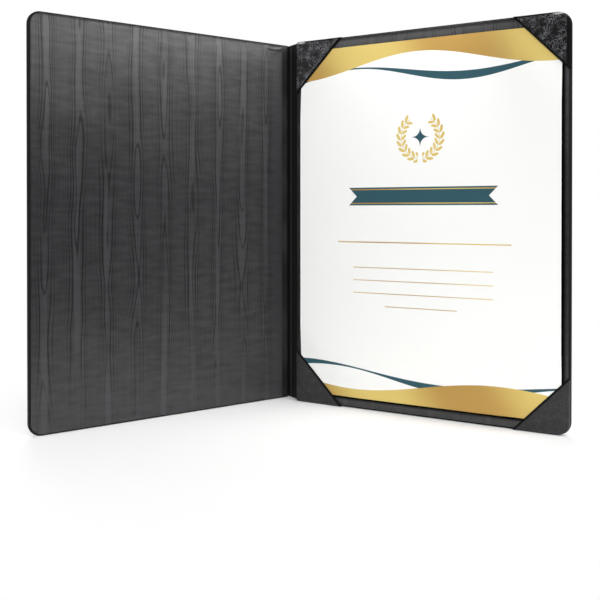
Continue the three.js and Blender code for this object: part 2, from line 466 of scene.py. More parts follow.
@dataclass(frozen=True)
class CrinkledLeatherette(Finish):
    """Thin polyurethane leatherette with a worm-like grain whose ridges carry painted glints, and painted shade
    along the folded edge.
    """

    valley: str = "#0f0f10"
    # The ridge colour is partly the grain's own and partly painted glint
    ridge: str = "#7a7a7d"
    # Painted shade along the hem's fold and along the rim
    fold_tint: str = "#0b0b0c"
    # The real grain is about 1 mm, and is drawn coarser so that it shows
    worm: float = 1.4
    worm_width: float = 0.09
    worm_height: float = 0.4
    wear: tuple[float, float] = (0.35, 0.65)
    gleam: float = 0.06
    fold: tuple[float, float] = (0.9, 2.2)
    side: tuple[float, float] | None = None
    head: tuple[float, float] | None = None
    # Painted glint: a light spot on a pocket's top edge by its corner, where a lamp gleams on the fold
    rub: str = "#b2b2b4"
    rubbed: tuple[float, float] | None = None
    rub_size: tuple[float, float] = (5.0, 1.1)

    def surface(self, tree: bpy.types.NodeTree) -> dict:
        """Worms that are ridges on a dark ground, worn away in patches.

        A worm is where random patches pass their middle value, so that thin ridges wind over the ground; their
        light colour is partly painted glint. The fold, the side and the head are where painted shade along the
        hem and the rim ends, and the painted glint by the corner is an ellipse.

        Args:
            tree: the tree that gets the nodes.

        Returns:
            What the main shader's sockets take.
        """
        axes = self.axes(tree)
        # Painted shade: the hem's fold, and with side and head also the rim by the fore-edge and the top, take the
        # dark fold colour
        unshaded = axes["Z"].step(*self.fold)
        for axis, edge in (("X", self.side), ("Y", self.head)):
            if edge is not None:
                unshaded = unshaded * axes[axis].step(*edge)
        worms = abs(self.patches(tree, self.worm, 1.0) - 0.5).step(self.worm_width, 0.0)
        bend = self.patches(tree, self.worm * 3, 1.0)
        worn = self.patches(tree, self.worm * 4, 3.0).step(*self.wear)
        height = worms * (worn * 0.8 + 0.2) * 0.7 + bend * 0.5
        # Light ridges on the dark ground: the grain, with painted glints in its colour
        tints = {"Color1": self.valley, "Color2": self.ridge}
        colour = add_node(tree, "MixRGB", inputs={"Fac": height.step(0.2, 1.0), **tints})
        tints = {"Color1": self.fold_tint, "Color2": colour}
        colour = add_node(tree, "MixRGB", inputs={"Fac": unshaded, **tints})
        # Painted glint: a light ellipse mixed into the colour
        if self.rubbed is not None:
            across, up = (
                (axes[axis] - centre) / size for axis, centre, size in zip("XY", self.rubbed, self.rub_size)
            )
            spot = (across * across + up * up).step(1.0, 0.1)
            colour = add_node(tree, "MixRGB", inputs={"Fac": spot, "Color1": colour, "Color2": self.rub})
        relief = {"Height": height, "Strength": 0.8, "Distance": self.worm_height * MM}
        return {
            "Base Color": colour,
            "Roughness": height.step(0.3, 1.1) * -0.16 + 0.44,
            "Specular IOR Level": self.gleam,
            "Normal": add_node(tree, "Bump", inputs=relief),
        }


@dataclass(frozen=True)
class WateredCloth(Finish):
    """Moire: ribbed rayon pressed in folds, whose flat ribs gleam in nested arches in upright columns."""

    head: tuple[float, float]
    dark: str = "#161617"
    light: str = "#38383a"
    shade: str = "#050506"
    column: float = 24.0
    arches: float = 1.9
    sway: tuple[float, float] = (34.0, 180.0)
    sway_width: float = 9.0
    column_start: float = 6.5
    drift: tuple[float, float] = (28.0, 150.0)
    drift_steps: float = 7.0
    outline_weight: float = 0.54
    fading: tuple[float, float] = (30.0, 90.0)
    streak: tuple[float, float] = (1.2, 90.0)
    cloud: tuple[float, float] = (16.0, 4.0)
    weave: tuple[float, float] = (50.0, 40.0)
    # The real ribs are about 0.4 mm apart, and are drawn wider so that they show
    rib: float = 1.7
    foot: tuple[float, float] = (80.0, 5.0)
    faint: tuple[float, float] = (0.0, 150.0)
    # Painted light: the tone is lifted by the crease against the shade there
    tight: tuple[float, float] = (24.0, 9.0)
    sheen: tuple[float, float] = (0.2, 0.6)
    # Upright ribs spread a gleam sideways
    spread: float = 0.92
    # The sheet's box: beside it and under its foot the cloth is painted dark, as a painted shadow of the sheet,
    # and above it a painted gleam
    pressed: tuple[float, float, float, float] | None = None
    press_width: tuple[float, float] = (0.8, 3.8)
    press_gleam: float = 0.3
    head_fade: float = 4.0
    puckered: tuple[float, float] | None = None
    pucker_sag: float = 0.02
    hollow: float = 4.2
    hollow_width: tuple[float, float] = (1.3, 0.2)
    hollow_reach: tuple[float, float] = (10.0, 5.0)
    hollow_weight: float = 0.55

    def surface(self, tree: bpy.types.NodeTree) -> dict:
        """A tone that sets the colour, the gleam and a slight relief, with painted shade under the head, a painted
        shadow beside and below a sheet, and a painted gleam just above it.

        Args:
            tree: the tree that gets the nodes.

        Returns:
            What the main shader's sockets take.
        """
        axes = self.axes(tree)
        across, up = axes["X"], axes["Y"]
        streaks = self.patches(tree, self.streak, 2.0)
        ribs = (up - across).wave(self.rib)
        tone = self.tone(tree, across, up, streaks, ribs)
        # Painted shade: the band under the head is darkened towards the shade colour, where the rolled edge is in
        # shadow
        clear = up.step(self.head[1], self.head[0]) * 0.6 + 0.4
        if self.pressed is not None:
            # A painted gleam on the strip above the sheet, and a painted shadow of the sheet
            sheet_top = self.pressed[3]
            tone = tone + up.step(sheet_top, sheet_top + self.head_fade) * self.press_gleam
            clear = clear * self.clear(across, up, self.pressed)
        # Painted shade: a dark crescent under the pucker's crest, as the shade of its lower flank
        if self.puckered is not None:
            aside = across - self.puckered[0]
            below = aside * aside * self.pucker_sag - up + self.puckered[1]
            dark = abs(below - self.hollow).step(*self.hollow_width) * abs(aside).step(*self.hollow_reach)
            tone = tone - dark * self.hollow_weight
        share = tone.step(0.0, 1.0)
        tint = add_node(tree, "MixRGB", inputs={"Fac": share, "Color1": self.dark, "Color2": self.light})
        tint = add_node(tree, "MixRGB", inputs={"Fac": clear, "Color1": self.shade, "Color2": tint})
        face = add_node(tree, "NewGeometry").outputs["Normal"]
        level = {0: face, 1: (0.0, 0.0, 1.0)}
        relief = {"Height": tone + ribs * 0.15, "Strength": 0.2, "Distance": 0.1 * MM}
        return {
            "Base Color": tint,
            "Roughness": streaks * 0.1 + 0.31,
            "Specular IOR Level": (share * (self.sheen[1] - self.sheen[0]) + self.sheen[0]) * clear,
            "Anisotropic": self.spread,
            "Tangent": add_node(tree, "VectorMath", {"operation": "CROSS_PRODUCT"}, level),
            "Normal": add_node(tree, "Bump", inputs=relief),
        }

    def tone(self, tree: bpy.types.NodeTree, across: Field, up: Field, streaks: Field, ribs: Field) -> Field:
        """How light the watered pattern is.

        A level rises and falls as a cosine across the columns and drifts up the cloth. Each whole step of
        the level is a dark outline, so that outlines crowd on a column's flanks and close as arches along its
        middle. The cosine's slope keeps an outline as thin at its tip as on the flanks, and all are weaker
        towards the crease and the foot. By the crease the tone is lifted, as painted light against the shade
        there, and towards the foot it is a little lighter, as painted light of the floor.

        Args:
            tree: the tree that gets the nodes.
            across: the distance from the crease.
            up: the height on the cover.
            streaks: fine upright streaks.
            ribs: the waves of the ribs.

        Returns:
            The tone, mostly between 0 and 1.
        """
        sway = self.patches(tree, self.sway, 1.0)
        columns = (across + sway * self.sway_width - self.column_start).wave(self.column)
        level = columns * self.arches + self.patches(tree, self.drift, 1.0) * self.drift_steps
        slope = (columns * columns * -1.0 + 1.0).then("SQRT") * 0.75 + 0.25
        outline = (abs(level.then("FRACT") - 0.5) / slope).step(0.27, 0.03)
        heart = columns.step(-0.8, 0.7)
        fade = self.patches(tree, self.fading, 1.0).step(0.3, 0.65)
        clouds = self.patches(tree, self.cloud, 3.0)
        weave = self.patches(tree, self.weave, 1.0).step(0.45, 0.65)
        # Towards the foot the tone is a little lighter: painted light of the floor
        foot = up.step(*self.foot)
        strong = (across.step(*self.faint) * 0.35 + 0.65) * (foot * -0.75 + 1.0)
        return (
            outline * (heart * 0.9 + 0.1) * (fade * 0.5 + 0.5) * strong * -self.outline_weight
            + (streaks - 0.5) * (heart * 0.35 + 0.15)
            + foot * 0.1
            + (clouds - 0.5) * 0.5
            + columns.step(0.7, 1.0) * fade * 0.25
            + ribs * weave * 0.1
            + across.step(*self.tight) * 0.35
            + 0.55
        )

    def clear(self, across: Field, up: Field, box: tuple[float, float, float, float]) -> Field:
        """Where the cloth is clear of the painted shadow beside the sides and under the foot of a sheet.

        Args:
            across: the distance from the crease.
            up: the height on the cover.
            box: the sheet's left, lower, right and upper edge.

        Returns:
            1 away from the sheet and above it, and 0 beside it and under it.
        """
        left, low, right, high = box
        aside = abs(across - (left + right) / 2) - (right - left) / 2
        below = (up * -1.0) + low
        return (aside | below).step(*self.press_width) | up.step(high - 0.5, high)


@dataclass(frozen=True)
class InkWave:
    """A cosine wave that runs along the head or the foot of a sheet, as the border of an ink."""

    inset: float
    swing: float
    length: float
    shift: float = 0.0

    def past(self, inward: Field, across: Field) -> Field:
        """How far places lie inside the wave, from their distances to the edge and across the sheet."""
        return inward - self.inset - (across + self.shift).wave(self.length) * self.swing


@dataclass(frozen=True)
class PrintedPaper(Finish):
    """Smooth white paper printed with waves, a laurel wreath, a ribbon and rules in gold and teal inks."""

    width: float
    height: float
    paper: str = "#fcfcfa"
    pale_gold: str = "#dec572"
    deep_gold: str = "#b8924d"
    teal: str = "#2f5560"
    gloss: float = 0.2
    shine: float = 150.0
    fibre: float = 0.9
    gold_waves: tuple[InkWave, InkWave] = (InkWave(17.0, 8.0, 210.0), InkWave(14.0, 7.0, 240.0, 70.0))
    teal_waves: tuple[InkWave, InkWave] = (InkWave(24.0, 6.0, 190.0, 45.0), InkWave(20.0, 6.0, 230.0, -20.0))
    teal_half: InkWave = InkWave(1.9, 1.3, 170.0, 30.0)
    wreath: float = 16.0
    wreath_height: float = 205.0
    leaf: tuple[float, float] = (2.9, 1.15)
    leaf_step: float = 0.29
    ribbon_height: float = 160.0
    ribbon_half: tuple[float, float] = (55.0, 7.0)
    ribbon_line: tuple[float, float] = (1.6, 0.7)
    name_rule: tuple[float, float, float] = (124.0, 72.0, 0.9)
    text_rules: tuple[tuple[float, float], ...] = ((104.0, 58.0), (94.0, 58.0), (84.0, 58.0), (74.0, 30.0))
    text_rule: float = 0.6
    rule_end: float = 0.2

    def surface(self, tree: bpy.types.NodeTree) -> dict:
        """The paper under the teal ink, and the gold ink over both, with fine fibres for the bump.

        Args:
            tree: the tree that gets the nodes.

        Returns:
            What the main shader's sockets take.
        """
        axes = self.axes(tree)
        across, up = axes["X"], axes["Y"]
        aside = abs(across - self.width / 2)
        gold_wave, teal_wave = self.waves(across, up)
        leaves, star = self.laurel(aside, up)
        braid, ribbon = self.ribbon(aside, up)
        gold = gold_wave | leaves | braid | self.rules(aside, up)
        teal = teal_wave | star | ribbon
        shine = (across + up * 0.6).wave(self.shine).step(-1.0, 1.0)
        tints = {"Color1": self.pale_gold, "Color2": self.deep_gold}
        foil = add_node(tree, "MixRGB", inputs={"Fac": shine, **tints})
        first = add_node(tree, "MixRGB", inputs={"Fac": teal, "Color1": self.paper, "Color2": self.teal})
        fibres = self.patches(tree, (self.fibre, self.fibre), 3.0)
        relief = {"Height": fibres, "Strength": 0.1, "Distance": 0.02 * MM}
        return {
            "Base Color": add_node(tree, "MixRGB", inputs={"Fac": gold, "Color1": first, "Color2": foil}),
            "Roughness": gold * -0.15 + 0.6,
            "Specular IOR Level": self.gloss,
            "Normal": add_node(tree, "Bump", inputs=relief),
        }

    def waves(self, across: Field, up: Field) -> tuple[Field, Field]:
        """Waves along the sheet's head and foot: a broad gold one, and a teal one that swells and thins.

        Args:
            across: the distance from the sheet's left edge.
            up: the height on the sheet.

        Returns:
            1 where the gold ink is, and 1 where the teal ink is.
        """
        ends = ((up * -1.0) + self.height, up)
        head, foot = (wave.past(end, across).under(0.0) for wave, end in zip(self.gold_waves, ends))
        over, below = (
            self.teal_half.past(abs(wave.past(end, across)), across).under(0.0)
            for wave, end in zip(self.teal_waves, ends)
        )
        return head | foot, over | below

    def laurel(self, aside: Field, up: Field) -> tuple[Field, Field]:
        """A wreath of two laurel branches, open at the top, round a star with four points.

        Each leaf is an ellipse that leans out from the stem or in from it, once in each step of the angle.

        Args:
            aside: the distance from the sheet's upright centre line.
            up: the height on the sheet.

        Returns:
            1 where the gold ink is, and 1 where the teal ink is.
        """
        rise = up - self.wreath_height
        radius = (aside * aside + rise * rise).then("SQRT")
        angle = aside.then("ARCTAN2", rise * -1.0)
        spread = ((angle / self.leaf_step).then("FRACT") - 0.5) * (self.leaf_step * self.wreath)
        length, width = self.leaf
        ink = radius.line(self.wreath, 0.5)
        for lean, offset in ((0.6, 2.3), (-0.6, -2.2)):
            out = radius - (self.wreath + offset)
            along = spread * math.cos(lean) + out * math.sin(lean)
            over = out * math.cos(lean) - spread * math.sin(lean)
            size = (along * along) * (1 / length**2) + (over * over) * (1 / width**2)
            ink = ink | size.under(1.0)
        branches = ink * angle.step(0.1, 0.14) * angle.step(2.62, 2.58)
        points = aside.then("SQRT") + abs(rise).then("SQRT")
        return branches, points.step(2.9, 2.8)

    def ribbon(self, aside: Field, up: Field) -> tuple[Field, Field]:
        """A teal title ribbon with swallow-tailed ends and a gold line along both of its edges.

        Args:
            aside: the distance from the sheet's upright centre line.
            up: the height on the sheet.

        Returns:
            1 where the gold ink is, and 1 where the teal ink is.
        """
        length, width = self.ribbon_half
        off = abs(up - self.ribbon_height)
        body = (aside - off).under(length)
        margin, line = self.ribbon_line
        return body * off.line(width - margin, line), body * off.under(width)

    def rules(self, aside: Field, up: Field) -> Field:
        """Ruled lines for writing on: a long one for a name and a block of four.

        Args:
            aside: the distance from the sheet's upright centre line.
            up: the height on the sheet.

        Returns:
            1 where the ink is.
        """
        height, half, width = self.name_rule
        ink = up.line(height, width) * aside.step(half + self.rule_end, half - self.rule_end)
        for height, half in self.text_rules:
            line = up.line(height, self.text_rule)
            ink = ink | line * aside.step(half + self.rule_end, half - self.rule_end)
        return ink


@dataclass(frozen=True)
class PulpBoard(Finish):
    """Grey board pressed from waste paper: matt, with darker flecks of fibre."""

    light: str = "#948e83"
    dark: str = "#7d776d"
    fleck: float = 1.6

    def surface(self, tree: bpy.types.NodeTree) -> dict:
        """Random flecks for the colour.

        Args:
            tree: the tree that gets the nodes.

        Returns:
            What the main shader's sockets take.
        """
        flecks = self.patches(tree, self.fleck, 4.0).step(0.35, 0.65)
        tints = {"Color1": self.dark, "Color2": self.light}
        return {"Base Color": add_node(tree, "MixRGB", inputs={"Fac": flecks, **tints}), "Roughness": 0.9}


@dataclass(frozen=True)
class FoamSheet(Finish):
    """Sliced polyurethane foam: matt off-white with fine open cells."""

    light: str = "#dcdcd6"
    dark: str = "#bdbdb6"
    cell: float = 0.8

    def surface(self, tree: bpy.types.NodeTree) -> dict:
        """Rounded cells for the colour.

        Args:
            tree: the tree that gets the nodes.

        Returns:
            What the main shader's sockets take.
        """
        cells = add_node(tree, "TexVoronoi", inputs={"Vector": self.place(tree, self.cell), "Scale": 1.0})
        share = Field(tree, cells.outputs["Distance"]).step(0.1, 0.7)
        tints = {"Color1": self.dark, "Color2": self.light}
        return {"Base Color": add_node(tree, "MixRGB", inputs={"Fac": share, **tints}), "Roughness": 0.95}


@dataclass(frozen=True)
class CoverSizes:
    """Sizes that all pieces on a cover share, in millimetres. Depths are below a cover's outer face."""

    sheet_width: float = 215.9
    sheet_height: float = 279.4
    spine_margin: float = 5.5
    fore_margin: float = 5.9
    end_margin: float = 9.0
    start: float = 2.3
    corner_radius: float = 9.5
    edge_round: float = 2.0
    skin: float = 0.7
    shell_depth: float = 5.0
    card_depth: float = 5.1
    cloth_depth: float = 5.6
    cloth: float = 0.3
    sheet_depth: float = 6.05
    sheet: float = 0.3
    pocket_depth: float = 6.5
    border: float = 7.3
    lining_inset: float = 1.6
    pucker_place: float = 8.0
    pucker_sag: float = 0.02

    @property
    def end(self) -> float:
        """The distance from the crease to the fore-edge."""
        return self.start + self.spine_margin + self.sheet_width + self.fore_margin

    @property
    def height(self) -> float:
        """The height of a cover."""
        return self.sheet_height + 2 * self.end_margin

    @property
    def sheet_box(self) -> tuple[float, float, float, float]:
        """The sheet's left, lower, right and upper edge on the cover."""
        left = self.start + self.spine_margin
        return left, self.end_margin, left + self.sheet_width, self.end_margin + self.sheet_height

    @property
    def lining_box(self) -> tuple[float, float, float, float]:
        """The lining card's left, lower, right and upper edge on the cover."""
        inset = self.lining_inset
        return self.start + self.border, inset, self.end - inset, self.height - inset


@dataclass(frozen=True)
class CoverPlane:
    """Where a cover stands: its crease, the way along it to the fore-edge, and the way to its inside."""

    crease: np.ndarray
    along: np.ndarray
    inward: np.ndarray
    skin: float

    @classmethod
    def from_frame(cls, side: Side, skin: float) -> "CoverPlane":
        """Reads a cover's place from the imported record.

        The back cover's outer face gives the turn of both covers, which stand alike beside the spine.

        Args:
            side: which cover.
            skin: the thickness of the leatherette, whose middle the crease lies in.

        Returns:
            The cover's place.
        """
        joint = next(j for j in frame["joints"] if j["name"] == f"{side.label}_crease")
        face = next(m for m in frame["record"]["mounts"] if m["name"] == "back_face")
        sine, cosine, _ = face["axis"]
        return cls(
            crease=np.array(joint["pos_m"][:2]) / MM,
            along=np.array([side.value * cosine, -sine]),
            inward=np.array([-side.value * sine, -cosine]),
            skin=skin,
        )

    def place(self, along: np.ndarray, depth: np.ndarray, height: np.ndarray) -> np.ndarray:
        """Turns distances on the cover into points of the frame.

        A point is the crease, plus the distance along the cover, plus the depth from there to the inside.

        Args:
            along: distances from the crease.
            depth: depths below the outer face.
            height: heights above the floor.

        Returns:
            Points in metres.
        """
        along, depth, height = np.broadcast_arrays(along, depth, height)
        plan = self.crease + along[..., None] * self.along + (depth - self.skin / 2)[..., None] * self.inward
        return np.concatenate([plan, height[..., None]], axis=-1) * MM


@dataclass
class PaddedCover:
    """The skin of a cover: leatherette drawn over foam and board, wrapped round the edges and turned in."""

    side: Side
    sizes: CoverSizes
    plane: CoverPlane
    finish: bpy.types.Material
    crown: float = 0.5
    unevenness: float = 0.35
    dent: float = 85.0
    softness: float = 26.0
    groove: float = 0.3
    groove_place: float = 3.8
    groove_width: float = 1.2
    groove_start: float = 12.0
    edge_zone: float = 9.0
    spacing: float = 3.5
    rings: int = 34
    face_steps: int = 14
    bend_steps: int = 6
    turned_steps: int = 5
    fill: float = 0.4

    def profile(self) -> tuple[np.ndarray, np.ndarray, np.ndarray]:
        """The section through a wrapped edge, from the outer face round the rim to the turned-in edge.

        Two quarter circles of the edge's radius join the outer face, the wall and the turned-in face.

        Returns:
            The inset from the edge, the depth, and the unit step from the outside of the skin to its inside.
        """
        radius, deep = self.sizes.edge_round, self.sizes.shell_depth
        face = np.linspace(self.edge_zone, radius, self.face_steps + 1)[:-1]
        turned = np.linspace(radius, self.edge_zone, self.turned_steps + 1)[1:]
        bend = np.linspace(0.0, QUARTER, self.bend_steps + 1)
        sine, cosine = np.sin(bend), np.cos(bend)
        level, under = np.zeros(len(face)), np.zeros(len(turned))
        inset = np.concatenate([face, radius * (1.0 - sine), radius * (1.0 - cosine), turned])
        depth = np.concatenate([level, radius * (1.0 - cosine), deep - radius * (1.0 - sine), under + deep])
        aside = np.concatenate([level, sine, cosine, under])
        down = np.concatenate([level + 1.0, cosine, -sine, under - 1.0])
        return inset, depth, np.stack([aside, down], axis=1)

    def relief(self, along: np.ndarray, height: np.ndarray, inset: np.ndarray) -> np.ndarray:
        """How far the outer face swells or dips: a crown that fades at the edges, a ripple and a groove.

        Args:
            along: distances from the crease.
            height: heights on the cover.
            inset: distances from the edge of the cover.

        Returns:
            Changes of the depth, where less than nothing is a swelling.
        """
        near = [along - self.sizes.start, self.sizes.end - along, height, self.sizes.height - height]
        fade = np.prod([smooth(d / self.softness) for d in near], axis=0)
        dents = self.unevenness * ripple(along, height, self.dent, seed=11 + self.side.value)
        dip = self.groove * bell(inset - self.groove_place, self.groove_width)
        return dip * smooth((along - self.sizes.start) / self.groove_start) - fade * (self.crown + dents)

    def build(self) -> None:
        """Makes the skin as one closed shell.

        Its section is carried along the three outer edges, and its faces run in from there to the middle of
        the spine side.
        """
        sizes = self.sizes
        low, high, top = sizes.start, sizes.end, sizes.height
        corners = [(low, 0.0), (high, 0.0), (high, top), (low, top)]
        path, normal = filleted_path(corners, [sizes.corner_radius] * 4, self.spacing, closed=False)
        hub = np.array([low, top / 2])
        inset, depth, inside = self.profile()
        edge = path[None] - inset[:, None, None] * normal[None]
        edge[..., 0] = np.maximum(edge[..., 0], low)
        share = np.linspace(0.0, 1.0, self.rings, endpoint=False)[:, None, None]
        outer = np.concatenate([hub + share * (edge[:1] - hub), edge])
        inset = np.concatenate([np.full(self.rings, self.edge_zone), inset])
        depth = np.concatenate([np.zeros(self.rings), depth])
        step = np.concatenate([np.tile([0.0, 1.0], (self.rings, 1)), inside]) * sizes.skin
        inner = outer - step[:, None, :1] * normal[None]
        inner[..., 0] = np.maximum(inner[..., 0], low)
        on_face = np.arange(len(depth)) < self.rings + self.face_steps
        relief = self.relief(outer[..., 0], outer[..., 1], inset[:, None])
        outer_depth = depth[:, None] + on_face[:, None] * relief
        inner_depth = np.broadcast_to((depth + step[:, 1])[:, None], outer_depth.shape)
        plan = np.concatenate([outer, inner[::-1]])
        depths = np.concatenate([outer_depth, inner_depth[::-1]])
        points = self.plane.place(plan[..., 0], depths, plan[..., 1])
        rows, columns = depths.shape
        level = np.arange(rows // 2 - 1)
        mate = rows - 1 - level
        cap = np.stack([level, level + 1, mate - 1, mate], axis=1) * columns
        faces = np.concatenate([grid_faces(rows, columns, wrap=False), cap, cap + columns - 1])
        wrap = np.where(on_face, sizes.edge_round - inset, depth)
        wrap = np.broadcast_to(np.concatenate([wrap, wrap[::-1]])[:, None, None], (rows, columns, 1))
        pattern = np.concatenate([plan, wrap], axis=-1)
        piece = make_piece(f"{self.side.label}_cover_leather", points, faces, pattern, self.finish)
        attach(piece, self.side.body)
        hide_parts(f"{self.side.label}_skin")


@dataclass
class ClothLining:
    """Moire cloth stretched over the lining card of one cover, with its edges rolled round the card."""

    side: Side
    sizes: CoverSizes
    plane: CoverPlane
    finish: bpy.types.Material
    lap: float = 0.3
    roll: float = 0.45
    flat_rings: tuple[float, float] = (1.1, 0.75)
    corner: float = 1.2
    spacing: float = 3.0
    waviness: float = 0.25
    wave: float = 45.0
    wave_fade: float = 8.0
    pucker: float = 2.6
    pucker_width: float = 6.0
    crest_place: float = 2.4
    crest_width: float = 1.4
    crest_start: float = 1.8
    rings: int = 40
    bend_steps: int = 4

    def lift(self, along: np.ndarray, height: np.ndarray) -> np.ndarray:
        """How far the cloth stands off the card: a slight waviness, and on the front a pucker by the spine.

        The pucker is a crescent under the top edge: a bell across it and a skewed bell up it.

        Args:
            along: distances from the crease.
            height: heights on the cover.

        Returns:
            Heights above the card.
        """
        low, foot, high, head = self.sizes.lining_box
        edges = [along - low, high - along, height - foot, head - height]
        fade = np.prod([smooth(d / self.wave_fade) for d in edges], axis=0)
        waves = self.waviness * fade * (0.5 + ripple(along, height, self.wave, seed=31 + self.side.value))
        if self.side is Side.BACK:
            return waves
        aside = along - low - self.sizes.pucker_place
        below = head - height + self.sizes.pucker_sag * aside**2
        crest = bell(below - self.crest_place, self.crest_width) * smooth(below / self.crest_start)
        return waves + self.pucker * bell(aside, self.pucker_width) * crest

    def profile(self) -> tuple[np.ndarray, np.ndarray]:
        """The section through an edge: a quarter circle from the face, and down and in under the card.

        Returns:
            The inset from the cloth's outline, and the depth.
        """
        face = self.sizes.cloth_depth + self.sizes.cloth
        bend = np.linspace(0.0, QUARTER, self.bend_steps + 1)
        under = [0.0, self.lap * 0.9, self.lap * 0.95, self.flat_rings[0]]
        inset = np.concatenate([self.flat_rings, self.roll * (1.0 - np.sin(bend)), under])
        rolled = face - self.roll * (1.0 - np.cos(bend))
        below = np.repeat([self.sizes.card_depth, self.sizes.cloth_depth], 2)
        return inset, np.concatenate([[face, face], rolled, below])

    def build(self) -> None:
        """Makes the cloth as one closed thin sheet.

        Rings run in from the card's outline to its middle on the face, and back underneath, and the section
        of the edge is carried round between them.
        """
        low, foot, high, head = self.sizes.lining_box
        low, foot, high, head = low - self.lap, foot - self.lap, high + self.lap, head + self.lap
        far = self.sizes.corner_radius - self.sizes.lining_inset + self.lap
        corners = [(low, foot), (high, foot), (high, head), (low, head)]
        radii = [self.corner, far, far, self.corner]
        path, normal = filleted_path(corners, radii, self.spacing, closed=True)
        hub = np.array([(low + high) / 2, (foot + head) / 2])
        inset, depth = self.profile()
        edge = path[None] - inset[:, None, None] * normal[None]
        share = np.linspace(0.0, 1.0, self.rings, endpoint=False)[:, None, None]
        face = hub + share * (edge[:1] - hub)
        back = hub + share[::-1] * (edge[-1:] - hub)
        plan = np.concatenate([face, edge, back])
        flat = np.concatenate([np.full(self.rings, depth[0]), depth, np.full(self.rings, depth[-1])])
        depths = flat[:, None] + self.lift(plan[..., 0], plan[..., 1])
        points = self.plane.place(plan[..., 0], depths, plan[..., 1])
        pattern = np.concatenate([plan, depths[..., None]], axis=-1)
        faces = grid_faces(*depths.shape, wrap=True)
        piece = make_piece(f"{self.side.label}_lining_cloth", points, faces, pattern, self.finish)
        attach(piece, self.side.body)
        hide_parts(f"{self.side.label}_lining")
        width, length = (high - low) * MM, (head - foot) * MM


